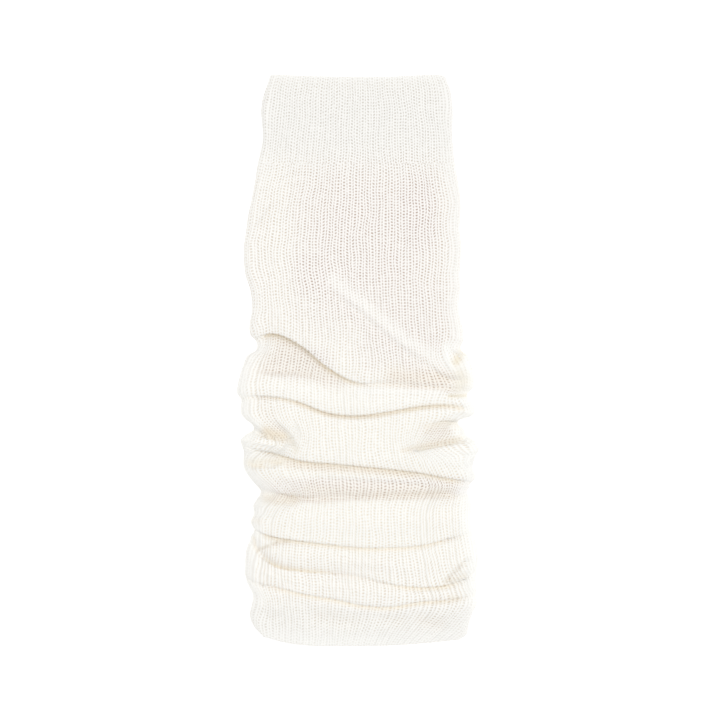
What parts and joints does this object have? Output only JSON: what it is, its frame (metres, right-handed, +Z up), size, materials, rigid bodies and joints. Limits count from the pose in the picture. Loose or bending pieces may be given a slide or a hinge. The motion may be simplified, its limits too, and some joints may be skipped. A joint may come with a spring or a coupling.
{
  "type": "leg warmer",
  "caption": "Off-white rib-knit leg warmer with a doubled welt at each end, laid flat and pushed down into soft folds.",
  "frame": {"origin": "centre of the footprint, on the surface that the leg warmer lies on", "axes": "+X across it to the right, +Y along it towards the top welt, +Z up from the surface"},
  "size_m": [0.175, 0.4128, 0.0206],
  "materials": {
    "top_welt": "matt off-white rib knit",
    "leg_tube": "matt cream rib knit",
    "bottom_welt": "matt off-white rib knit"
  },
  "bodies": {
    "root": {"top_welt": "top_welt", "leg_tube": "leg_tube", "bottom_welt": "bottom_welt"}
  },
  "joints": []
}
